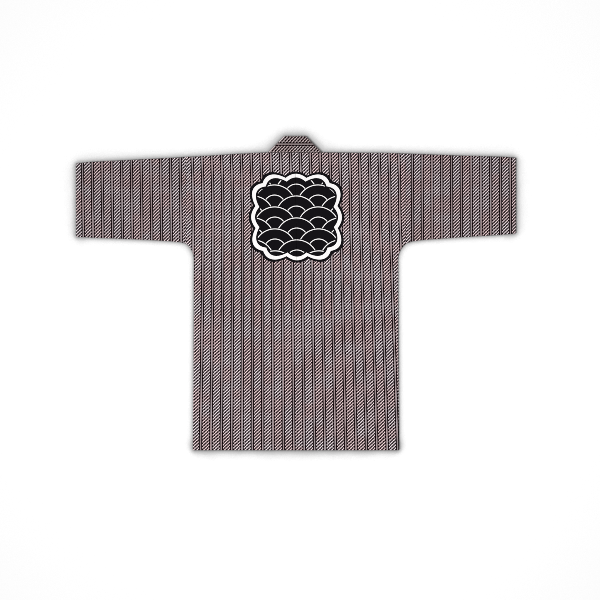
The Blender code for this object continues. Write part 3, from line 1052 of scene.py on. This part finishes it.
def join_meshes(name: str, parts: tuple[bpy.types.Mesh, ...]) -> bpy.types.Mesh:
    """Join meshes into one and merge the corners that fall together.

    Args:
        name: the joined mesh's name.
        parts: the meshes, which are used up.

    Returns:
        One closed mesh, smooth shaded.
    """
    shape = bmesh.new()
    for part in parts:
        shape.from_mesh(part)
        bpy.data.meshes.remove(part)
    bmesh.ops.remove_doubles(shape, verts=shape.verts, dist=1e-6)
    mesh = bpy.data.meshes.new(name)
    shape.to_mesh(mesh)
    shape.free()
    mesh.shade_smooth()
    return mesh


def linear(code: str) -> tuple[float, float, float, float]:
    """Turn an sRGB hex colour such as "F5E8EA" into linear colour with full alpha."""
    parts = [int(code[place : place + 2], 16) / 255.0 for place in (0, 2, 4)]
    return (*(part / 12.92 if part <= 0.04045 else ((part + 0.055) / 1.055) ** 2.4 for part in parts), 1.0)


def add_node(
    tree: bpy.types.NodeTree, kind: str, inputs: dict[str | int, object], **settings: object
) -> bpy.types.Node:
    """Add one node with its settings and links.

    A Mix node for colours takes the share at input 0 and the two colours at 6 and 7, and gives them
    mixed at output 2.

    Args:
        tree: the node tree.
        kind: the shader node's type, without its first words.
        inputs: values, or sockets to link from, by the name or number of an input.
        settings: values of the node's own properties.

    Returns:
        The new node.
    """
    node = tree.nodes.new(f"ShaderNode{kind}")
    for name, value in settings.items():
        setattr(node, name, value)
    for key, value in inputs.items():
        if isinstance(value, bpy.types.NodeSocket):
            tree.links.new(value, node.inputs[key])
        else:
            node.inputs[key].default_value = value
    return node


def bare_material(name: str) -> Material:
    """Make a material whose node tree is still empty.

    Args:
        name: the material's name.

    Returns:
        The material.
    """
    material = bpy.data.materials.new(name)
    material.use_nodes = True
    material.node_tree.nodes.clear()
    return material


class Arithmetic:
    """Sums that shader nodes work out, written a line each: result, operation and its terms.

    A term is a number, or the name of an earlier result or a size. A minus turns a size's sign.
    """

    def __init__(self, tree: bpy.types.NodeTree, known: dict[str, object]) -> None:
        """Start with some named sockets and sizes."""
        self.tree = tree
        self.known = dict(known)

    def term(self, word: str) -> object:
        """Look up what a word stands for.

        Args:
            word: a term of a line.

        Returns:
            A socket or a number.
        """
        if word.startswith("-"):
            return -self.term(word[1:])
        return self.known[word] if word in self.known else float(word)

    def work_out(self, text: str, **sizes: object) -> None:
        """Add a node for each line, and remember its result by name.

        Args:
            text: the lines.
            sizes: more sockets and numbers by name.
        """
        self.known.update(sizes)
        for line in text.strip().splitlines():
            result, operation, *words = line.split()
            terms = {place: self.term(word) for place, word in enumerate(words)}
            self.known[result] = add_node(self.tree, "Math", terms, operation=operation).outputs[0]


@dataclass(frozen=True)
class ChainStripe:
    """The woven stripe: columns of interlaced links between double lines, all in millimetres.

    The real links are drawn by two pale lines of 1.2 mm, which run together when the whole coat is
    seen: there each link shows as one bright stroke that rises to the right, between dull double
    lines. To show so too, the outer line is drawn heavier here than the inner one and the double
    lines, the rising slopes of two links meet in one straight stroke, and the rest of a link is
    duller. The real double line shows as one thin grey line, so it is drawn dull and with a narrow
    gap. The real thread lies 0.5 mm apart, too fine to show, so a float is drawn 1.45 mm long.
    """

    pitch: float = 28.9
    line_apart: float = 1.0
    line_half: float = 0.8
    line_tone: float = 0.46
    link_pitch: float = 9.4
    link_side: float = 9.1
    link_end: float = 9.6
    slope_x: float = 0.69
    slope_y: float = 0.7236
    slope_at: float = 6.8
    dull_tone: float = 0.30
    outer_half: float = 1.0
    inner_at: float = 2.0
    inner_half: float = 0.25
    inner_tone: float = 0.25
    cover_middle: float = 1.125
    cover_half: float = 2.695
    float_length: float = 1.45

    def draw(self, sums: Arithmetic) -> None:
        """Work out "pale", 1 on pale thread and 0 on the dark ground, from millimetres u and v.

        A link's rim distance is the largest of its distances from two sides, two ends and four
        slopes. Two pale lines follow that rim, and the link hides what lies under it. The upper of
        two neighbours lies on top on the right of a column, and the lower on the left.

        Args:
            sums: where u and v are known and the results go.
        """
        sums.work_out(
            """
            columns DIVIDE u pitch
            column ROUND columns
            x MULTIPLY_ADD column -pitch u
            right SIGN x
            far ABSOLUTE x
            to_line SUBTRACT half_pitch far
            on_pair COMPARE to_line line_apart line_half
            pair MULTIPLY on_pair line_tone
            links DIVIDE v link_pitch
            nearest ROUND links
            y MULTIPLY_ADD nearest -link_pitch v
            turned_y MULTIPLY y right
            beyond_side SUBTRACT far link_side
            slope_part MULTIPLY_ADD far slope_x -slope_at
            shown ADD 0 0
            open ADD 1 0
            """,
            half_pitch=self.pitch / 2,
            bright_tone=1.0 - self.dull_tone,
            **vars(self),
        )
        for step in (-1.0, 0.0, 1.0):
            sums.work_out(
                """
                link_y ADD turned_y link_shift
                far_y ABSOLUTE link_y
                beyond_end SUBTRACT far_y link_end
                beyond_slope MULTIPLY_ADD far_y slope_y slope_part
                straight MAXIMUM beyond_side beyond_end
                rim MAXIMUM straight beyond_slope
                outer COMPARE rim 0 outer_half
                inner COMPARE rim -inner_at inner_half
                dull MULTIPLY inner inner_tone
                lit MAXIMUM outer dull
                on_slope GREATER_THAN beyond_slope straight
                rising LESS_THAN link_y 0
                bright MULTIPLY on_slope rising
                tone MULTIPLY_ADD bright bright_tone dull_tone
                thread MULTIPLY lit tone
                seen MULTIPLY thread open
                shown MAXIMUM shown seen
                cover COMPARE rim -cover_middle cover_half
                bare SUBTRACT 1 cover
                open MULTIPLY open bare
                """,
                link_shift=step * self.link_pitch,
            )
        sums.work_out("pale MAXIMUM shown pair")


@dataclass(frozen=True)
class WaveEmblem:
    """A plain medallion for the back: scalloped, black, with a pale band and rows of waves inside.

    Sizes are in millimetres on the flat cloth. The outline is a square with round corners, of the
    fourth power, whose edge is drawn in between its lobes.
    """

    middle_u: float = -0.3
    middle_v: float = 222.0
    half_width: float = 140.5
    half_height: float = 133.0
    lobes: float = 6.0
    lobe_depth: float = 12.0
    dark_rim: float = 7.0
    pale_rim: float = 10.5
    wave: float = 64.0
    wave_line: float = 2.6
    inner_wave: float = 32.0
    field_gap: float = 5.0

    def draw(self, sums: Arithmetic) -> None:
        """Work out "emblem", 1 inside the outline, and "emblem_pale", 1 on its pale parts.

        Waves are circles in rows half a radius apart, each row shifted by a radius. The lowest circle
        that holds a point hides those behind it.

        Args:
            sums: where u and v are known and the results go.
        """
        sums.work_out(
            """
            eu SUBTRACT u middle_u
            ev SUBTRACT v middle_v
            eu_share DIVIDE eu half_width
            ev_share DIVIDE ev half_height
            eu_far ABSOLUTE eu_share
            ev_far ABSOLUTE ev_share
            eu_power POWER eu_far 4
            ev_power POWER ev_far 4
            power_sum ADD eu_power ev_power
            reach POWER power_sum 0.25
            beyond SUBTRACT reach 1
            beyond_mm MULTIPLY beyond half_height
            turn ARCTAN2 ev eu
            lobe_turn MULTIPLY turn lobes
            lobe COSINE lobe_turn
            lobe_far ABSOLUTE lobe
            valley SUBTRACT 1 lobe_far
            outline MULTIPLY_ADD valley lobe_depth beyond_mm
            emblem LESS_THAN outline 0
            in_dark_rim LESS_THAN outline -dark_rim
            in_pale_rim LESS_THAN outline -to_dark_field
            in_field LESS_THAN outline -to_waves
            pale_band SUBTRACT in_dark_rim in_pale_rim
            rows DIVIDE ev half_wave
            lowest_row SUBTRACT rows 2
            row CEIL lowest_row
            waves ADD 0 0
            sky ADD 1 0
            """,
            to_dark_field=self.dark_rim + self.pale_rim,
            to_waves=self.dark_rim + self.pale_rim + self.field_gap,
            half_wave=self.wave / 2,
            two_waves=self.wave * 2,
            crest_at=self.wave - self.wave_line,
            half_line=self.wave_line / 2,
            **vars(self),
        )
        for order in range(3):
            sums.work_out(
                """
                this_row ADD row order
                row_y MULTIPLY this_row half_wave
                row_u MULTIPLY this_row wave
                from_row SUBTRACT eu row_u
                circles DIVIDE from_row two_waves
                circle ROUND circles
                wave_x MULTIPLY_ADD circle -two_waves from_row
                wave_y SUBTRACT ev row_y
                square_x MULTIPLY wave_x wave_x
                square MULTIPLY_ADD wave_y wave_y square_x
                radius SQRT square
                crest COMPARE radius crest_at half_line
                inner_crest COMPARE radius inner_wave half_line
                crests MAXIMUM crest inner_crest
                wave_seen MULTIPLY crests sky
                waves MAXIMUM waves wave_seen
                outside GREATER_THAN radius wave
                sky MULTIPLY sky outside
                """,
                order=float(order),
            )
        sums.work_out(
            """
            inner_waves MULTIPLY waves in_field
            emblem_pale MAXIMUM pale_band inner_waves
            """
        )


@dataclass(frozen=True)
class ClothWear:
    """How the cloth strays from even: lengths in millimetres, and tones that multiply its colour.

    The pale thread's tint drifts along each column and from one column to the next, where its noise
    moves on by column_step, and turns between the noise's levels tint_from and tint_to. Washing has
    left narrow streaks along the cloth, and the weave stands out a little.
    """

    column_step: float = 7.31
    tint_length: float = 70.0
    tint_from: float = 0.42
    tint_to: float = 0.58
    streak_length: float = 60.0
    streak_width: float = 2.2
    streak_tone: float = 0.24
    least_tone: float = 0.88
    streak_height: float = 0.25
    weave_tone: float = 0.16
    weave_height: float = 0.20
    pale_rough: float = -0.06


@dataclass(frozen=True)
class DyedCotton:
    """Yarn-dyed happi cotton: a firm, matt cloth woven in pale and near-black thread.

    It is washed and pressed cotton, so it gives the eye no gloss, only a faint fuzz at grazing
    angles. The thread was dyed before weaving, so the wrong side carries the same stripe. A piece
    made with a duller pale thread than the body's carries painted shade.
    """

    name: str
    pale: str = "F1E3E8"
    pale_rose: str = "F2D5D7"
    dark: str = "0D0104"
    emblem_pale: str = "EDEBEB"
    emblem_dark: str = "110F13"
    roughness: float = 0.88
    specular: float = 0.03
    sheen: float = 0.02
    fuzz_spread: float = 0.5
    bump_strength: float = 0.5
    bump_depth: float = 0.0004
    emblem: WaveEmblem | None = None
    stripe: ChainStripe = ChainStripe()
    wear: ClothWear = ClothWear()

    def material(self) -> Material:
        """Make the cloth's material.

        Returns:
            A material whose colour, roughness and bump are worked out from the flat cloth's map.
        """
        material = bare_material(self.name)
        tree = material.node_tree
        cloth = add_node(tree, "UVMap", {}, uv_map=CLOTH_MAP)
        place = add_node(tree, "SeparateXYZ", {0: cloth.outputs["UV"]})
        sums = Arithmetic(tree, {"U": place.outputs[0], "V": place.outputs[1], "roughness": self.roughness})
        sums.work_out("u MULTIPLY U 1000\nv MULTIPLY V 1000")
        self.stripe.draw(sums)
        sums.work_out(
            """
            column_place MULTIPLY column column_step
            v_tint DIVIDE v tint_length
            v_streak DIVIDE v streak_length
            u_streak DIVIDE u streak_width
            """,
            **vars(self.wear),
        )
        places = add_node(tree, "CombineXYZ", {0: sums.known["column_place"], 1: sums.known["v_tint"]})
        tint = add_node(tree, "TexNoise", {"Vector": places.outputs[0], "Scale": 1.0, "Detail": 1.0})
        places = add_node(tree, "CombineXYZ", {0: sums.known["u_streak"], 1: sums.known["v_streak"]})
        streak = add_node(tree, "TexNoise", {"Vector": places.outputs[0], "Scale": 1.0, "Detail": 2.0})
        drift = {"Value": tint.outputs[0], "From Min": self.wear.tint_from, "From Max": self.wear.tint_to}
        share = add_node(tree, "MapRange", drift)
        tints = {0: share.outputs[0], 6: linear(self.pale), 7: linear(self.pale_rose)}
        pale = add_node(tree, "Mix", tints, data_type="RGBA")
        threads = {0: sums.known["pale"], 6: linear(self.dark), 7: pale.outputs[2]}
        colour = add_node(tree, "Mix", threads, data_type="RGBA")
        if self.emblem:
            self.emblem.draw(sums)
            dyes = {0: sums.known["emblem_pale"], 6: linear(self.emblem_dark), 7: linear(self.emblem_pale)}
            motif = add_node(tree, "Mix", dyes, data_type="RGBA")
            parts = {0: sums.known["emblem"], 6: colour.outputs[2], 7: motif.outputs[2]}
            colour = add_node(tree, "Mix", parts, data_type="RGBA")
            sums.work_out("off_emblem SUBTRACT 1 emblem\npale MULTIPLY pale off_emblem")
        sums.work_out(
            """
            worn MULTIPLY_ADD streak streak_tone least_tone
            across_thread MULTIPLY u thread_turn
            along_thread MULTIPLY v thread_turn
            warp SINE across_thread
            weft SINE along_thread
            weave MULTIPLY warp weft
            threads MULTIPLY_ADD weave weave_tone worn
            thread_height MULTIPLY_ADD weave weave_height pale
            height MULTIPLY_ADD streak streak_height thread_height
            rough MULTIPLY_ADD pale pale_rough roughness
            """,
            streak=streak.outputs[0],
            thread_turn=2.0 * math.pi / self.stripe.float_length,
        )
        tones = {0: 1.0, 6: colour.outputs[2], 7: sums.known["threads"]}
        worn = add_node(tree, "Mix", tones, data_type="RGBA", blend_type="MULTIPLY")
        relief = {"Strength": self.bump_strength, "Distance": self.bump_depth}
        bump = add_node(tree, "Bump", {**relief, "Height": sums.known["height"]})
        shader = add_node(
            tree,
            "BsdfPrincipled",
            {
                "Base Color": worn.outputs[2],
                "Roughness": sums.known["rough"],
                "Normal": bump.outputs[0],
                "Metallic": 0.0,
                "Specular IOR Level": self.specular,
                "Sheen Weight": self.sheen,
                "Sheen Roughness": self.fuzz_spread,
                "Sheen Tint": linear(self.pale),
            },
        )
        add_node(tree, "OutputMaterial", {"Surface": shader.outputs[0]})
        return material


@dataclass(frozen=True)
class SewingThread:
    """Dark cotton sewing thread, twisted, which shows as small matt stitches with a fine slant.

    Its twist scale of 500 sets the turns 1.3 mm apart along a stitch.
    """

    name: str = "twisted_cotton_thread"
    dark: str = "1A1418"
    pale: str = "3A3036"
    twist_scale: float = 500.0
    twist_waver: float = 1.0
    roughness: float = 0.7
    specular: float = 0.3
    bump_strength: float = 0.4
    bump_depth: float = 0.0001

    def material(self) -> Material:
        """Make the thread's material.

        Returns:
            A material of two close tones in a slanting twist, on the piece's Object coordinates.
        """
        material = bare_material(self.name)
        tree = material.node_tree
        place = add_node(tree, "TexCoord", {})
        where = place.outputs["Object"]
        waves = {"Scale": self.twist_scale, "Distortion": self.twist_waver, "Vector": where}
        twist = add_node(tree, "TexWave", waves, bands_direction="DIAGONAL")
        tones = {0: twist.outputs[1], 6: linear(self.dark), 7: linear(self.pale)}
        colour = add_node(tree, "Mix", tones, data_type="RGBA")
        relief = {"Strength": self.bump_strength, "Distance": self.bump_depth}
        bump = add_node(tree, "Bump", {**relief, "Height": twist.outputs[1]})
        finish = {"Roughness": self.roughness, "Specular IOR Level": self.specular}
        looks = {**finish, "Base Color": colour.outputs[2], "Normal": bump.outputs[0]}
        shader = add_node(tree, "BsdfPrincipled", looks)
        add_node(tree, "OutputMaterial", {"Surface": shader.outputs[0]})
        return material


@dataclass
class Stitching:
    """Rows of small stitches: along the turned hems, the cuffs and the collar seam."""

    lie: Lie
    material: Material
    length: float = 0.0040
    width: float = 0.00055
    height: float = 0.0004
    ring_places: tuple[float, ...] = (-0.42, -0.2, 0.2, 0.42)
    ring_girths: tuple[float, ...] = (0.6, 1.0, 1.0, 0.6)
    ring_corners: int = 6
    pitch: float = 0.0075
    hem_from: float = 0.010
    hem_to_side: float = 0.008
    cuff_end: float = 0.006
    collar_half: float = 0.066
    collar_count: int = 23
    collar_in: float = 0.0035
    sunk: float = 0.0003

    def capsule(self) -> tuple[Array, Array, Array]:
        """Make one stitch about the origin, along X.

        Returns:
            Its corners, four-sided faces and three-sided faces: a ring of corners on an ellipse at
            each place along it, and a point at each end.
        """
        count = self.ring_corners
        girths = np.array(self.ring_girths)[:, None]
        turn = np.arange(count) * 2.0 * math.pi / count
        ring_x = np.repeat(np.array(self.ring_places) * self.length, count)
        ring_y = (girths * np.cos(turn) * self.width / 2).ravel()
        ring_z = (girths * np.sin(turn) * self.height / 2).ravel()
        ends = np.array([[-self.length / 2, 0.0, 0.0], [self.length / 2, 0.0, 0.0]])
        corners = np.concatenate([np.stack([ring_x, ring_y, ring_z], axis=-1), ends])
        ring = np.arange(len(ring_x)).reshape(-1, count)
        after = np.roll(ring, -1, axis=1)
        sides = np.stack([ring[:-1], after[:-1], after[1:], ring[1:]], axis=-1).reshape(-1, 4)
        first = np.stack([np.full(count, ring.size), after[0], ring[0]], axis=-1)
        last = np.stack([np.full(count, ring.size + 1), ring[-1], after[-1]], axis=-1)
        return corners, sides, np.concatenate([first, last])

    def row(self, name: str, places: Array, way: tuple[float, float], slot: str) -> Piece:
        """Make a row of stitches as one piece.

        Args:
            name: the piece's name.
            places: the middle of each stitch, count x 3.
            way: the stitches' direction in plan, of length 1.
            slot: not used.

        Returns:
            The piece.
        """
        corners, sides, ends = self.capsule()
        along, beside, up = corners.T
        turned = np.stack([along * way[0] - beside * way[1], along * way[1] + beside * way[0], up], axis=-1)
        points = (turned + places[:, None, :]).reshape(-1, 3)
        first = (np.arange(len(places)) * len(corners))[:, None, None]
        faces = (sides + first).reshape(-1, 4).tolist() + (ends + first).reshape(-1, 3).tolist()
        mesh = bpy.data.meshes.new(name)
        mesh.from_pydata(points, [], faces)
        mesh.shade_smooth()
        return add_piece(mesh, self.material)

    def hem(self, side: Side) -> Piece:
        """Stitch down one half of the back hem.

        Args:
            side: the half of the coat.

        Returns:
            The row of stitches.
        """
        lie = self.lie
        out = np.arange(self.hem_from, lie.side_at_hem - self.hem_to_side, self.pitch)
        y = np.full(len(out), lie.hem_y + lie.hem_turn - lie.stitch_in)
        places = lie.placed(side, out, y, lie.upper_level(side, out, y) + lie.cloth / 2)
        return self.row(f"hem_stitches_{side.word}", places, (1.0, 0.0), "body_cotton")

    def cuff(self, side: Side) -> Piece:
        """Stitch down the turned-in cuff on the upper side of one sleeve.

        Args:
            side: which sleeve.

        Returns:
            The row of stitches.
        """
        lie = self.lie
        cuff_out = lie.half_span - lie.hem_turn + lie.stitch_in
        low, high = lie.under_y(side, cuff_out) + self.cuff_end, lie.top_y(side, cuff_out) - self.cuff_end
        y = np.arange(low, high, self.pitch)
        out = np.full(len(y), cuff_out)
        places = lie.placed(side, out, y, lie.upper_level(side, out, y) + lie.cloth / 2)
        return self.row(f"cuff_stitches_{side.word}", places, (0.0, 1.0), "sleeve_cotton")

    def collar(self) -> Piece:
        """Stitch along the collar band's seam across the back of the neck.

        Returns:
            The row of stitches.
        """
        lie = self.lie
        out = np.linspace(-self.collar_half, self.collar_half, self.collar_count)
        y = np.full(len(out), lie.neck_y + self.collar_in)
        z = np.full(len(out), lie.band_high + lie.band_thick / 2 - self.sunk)
        return self.row("collar_stitches", lie.placed(Side.RIGHT, out, y, z), (1.0, 0.0), "collar_cotton")


@dataclass(frozen=True)
class WhitePaper:
    """Matt white paper for the floor, which gives the eye a plain ground, greyer close round the coat.

    The coat is so thin that its own soft shadow hardly shows, so a shadow is painted into the paper's
    colour: it deepens with the share of its sky that the coat hides within a few centimetres.
    """

    name: str = "matt_white_paper"
    tone: str = "FBFBFB"
    other_tone: str = "F9F9F9"
    tone_scale: float = 1.5
    shadow: str = "404040"
    shadow_reach: float = 0.07
    shadow_power: float = 0.3
    shadow_samples: int = 32
    roughness: float = 0.95
    specular: float = 0.1

    def material(self) -> Material:
        """Make the paper's material.

        Returns:
            The material, with its two tones mixed by slow noise and a painted shadow where the coat hides
            the sky.
        """
        material = bare_material(self.name)
        tree = material.node_tree
        place = add_node(tree, "TexCoord", {})
        noise = add_node(tree, "TexNoise", {"Scale": self.tone_scale, "Vector": place.outputs["Object"]})
        tones = {0: noise.outputs[0], 6: linear(self.tone), 7: linear(self.other_tone)}
        colour = add_node(tree, "Mix", tones, data_type="RGBA")
        reach = {"Distance": self.shadow_reach}
        sky = add_node(tree, "AmbientOcclusion", reach, samples=self.shadow_samples)
        sums = Arithmetic(tree, {"open_sky": sky.outputs["AO"], "power": self.shadow_power})
        sums.work_out("hidden SUBTRACT 1 open_sky\nshade POWER hidden power")
        # Painted shadow: the paper's colour darkens where the coat hides its sky.
        shades = {0: sums.known["shade"], 6: colour.outputs[2], 7: linear(self.shadow)}
        shaded = add_node(tree, "Mix", shades, data_type="RGBA")
        finish = {"Roughness": self.roughness, "Specular IOR Level": self.specular}
        shader = add_node(tree, "BsdfPrincipled", {**finish, "Base Color": shaded.outputs[2]})
        add_node(tree, "OutputMaterial", {"Surface": shader.outputs[0]})
        return material


@dataclass
class Studio:
    """A pale floor, soft light and a camera straight above the coat."""

    picture_width: float = 1.7496
    look_x: float = 0.0117
    look_y: float = -0.0197
    lens: float = 85.0
    sensor: float = 36.0
    floor_half: float = 14.0
    floor_drop: float = 0.0004
    paper: WhitePaper = WhitePaper()
    sky: float = 0.48
    far_power: float = 2.1
    far_softness: float = 25.0
    far_place: tuple[float, float, float] = (-1.8, -0.6, 1.8)
    near_power: float = 4.6
    near_size: float = 0.9
    near_place: tuple[float, float, float] = (0.02, -0.06, 1.3)
    filter_width: float = 0.75

    def camera(self) -> None:
        """Hang the camera so that the picture is as wide on the floor as the photograph."""
        data = bpy.data.cameras.new("overhead")
        data.lens = self.lens
        data.sensor_width = self.sensor
        camera = bpy.data.objects.new("overhead", data)
        camera.location = (self.look_x, self.look_y, self.picture_width * self.lens / self.sensor)
        bpy.context.scene.collection.objects.link(camera)
        bpy.context.scene.camera = camera

    def lay_floor(self) -> None:
        """Lay the paper as a wide square, a little below the coat."""
        half, low = self.floor_half, -self.floor_drop
        mesh = bpy.data.meshes.new("paper_floor")
        corners = [(-half, -half, low), (half, -half, low), (half, half, low), (-half, half, low)]
        mesh.from_pydata(corners, [], [(0, 1, 2, 3)])
        mesh.materials.append(self.paper.material())
        floor = bpy.data.objects.new("paper_floor", mesh)
        bpy.context.scene.collection.objects.link(floor)

    def lamp(self, name: str, kind: str, power: float, place: tuple[float, ...]) -> bpy.types.Light:
        """Hang one lamp, unseen by the camera, that shines on the middle of the coat.

        Args:
            name: the lamp's name.
            kind: "SUN" or "AREA".
            power: in watts, for a sun in watts a square metre.
            place: where it hangs.

        Returns:
            Its light data, to set its size.
        """
        data = bpy.data.lights.new(name, kind)
        data.energy = power
        lamp = bpy.data.objects.new(name, data)
        lamp.location = place
        lamp.rotation_euler = (-lamp.location).to_track_quat("-Z", "Y").to_euler()
        lamp.visible_camera = False
        bpy.context.scene.collection.objects.link(lamp)
        return data

    def lights(self) -> None:
        """Light the coat from all round, from the left to bring out its folds, and from above."""
        world = bpy.data.worlds.new("soft_studio")
        world.use_nodes = True
        background = world.node_tree.nodes["Background"]
        background.inputs["Color"].default_value = linear("FFFFFF")
        background.inputs["Strength"].default_value = self.sky
        bpy.context.scene.world = world
        self.lamp("far_lamp", "SUN", self.far_power, self.far_place).angle = math.radians(self.far_softness)
        self.lamp("near_lamp", "AREA", self.near_power, self.near_place).size = self.near_size

    def set_up(self) -> None:
        """Make the whole studio, shown in plain screen colours as the photograph is.

        The stripe's strokes are a pixel and a half wide, which smoothing would wipe out. So that is
        off, and each pixel gathers light from little more than its own width.
        """
        scene = bpy.context.scene
        scene.view_settings.view_transform = "Standard"
        scene.cycles.use_denoising = False
        scene.cycles.filter_width = self.filter_width
        self.camera()
        self.lay_floor()
        self.lights()


def main() -> None:
    """Build the coat's pieces in order, sized from the imported model's box, then the studio."""
    logging.basicConfig(level=logging.INFO, format="%(name)s: %(message)s")
    lowest, highest = cad_box
    lie = Lie(half_span=float(highest.x), hem_y=float(lowest.y))
    stripe = StripeLie()
    body_cotton = DyedCotton("yarn_dyed_cotton_body", emblem=WaveEmblem()).material()
    # Painted shade: the sleeves' pale thread is duller than the body's, for less light towards the cuffs.
    sleeve_cotton = DyedCotton("yarn_dyed_cotton_sleeve_painted_shade", pale="E8DADF", pale_rose="E8CCCE").material()
    # Painted shade: the collar's pale thread is darker still, for the shade over the band at the neck.
    collar_cotton = DyedCotton("yarn_dyed_cotton_collar_painted_shade", pale="CDBEBF", pale_rose="C8B3B3").material()
    stitching = Stitching(lie, SewingThread().material())
    for side in Side:
        body = BodyLength(side, lie, stripe).build(body_cotton)
        hem = stitching.hem(side)
        sleeve = Sleeve(side, lie, stripe).build(sleeve_cotton)
        cuff = stitching.cuff(side)
    collar = CollarBand(lie, stripe).build(collar_cotton)
    collar_stitches = stitching.collar()
    Studio().set_up()
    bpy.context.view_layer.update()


if __name__ == "__main__":
    main()
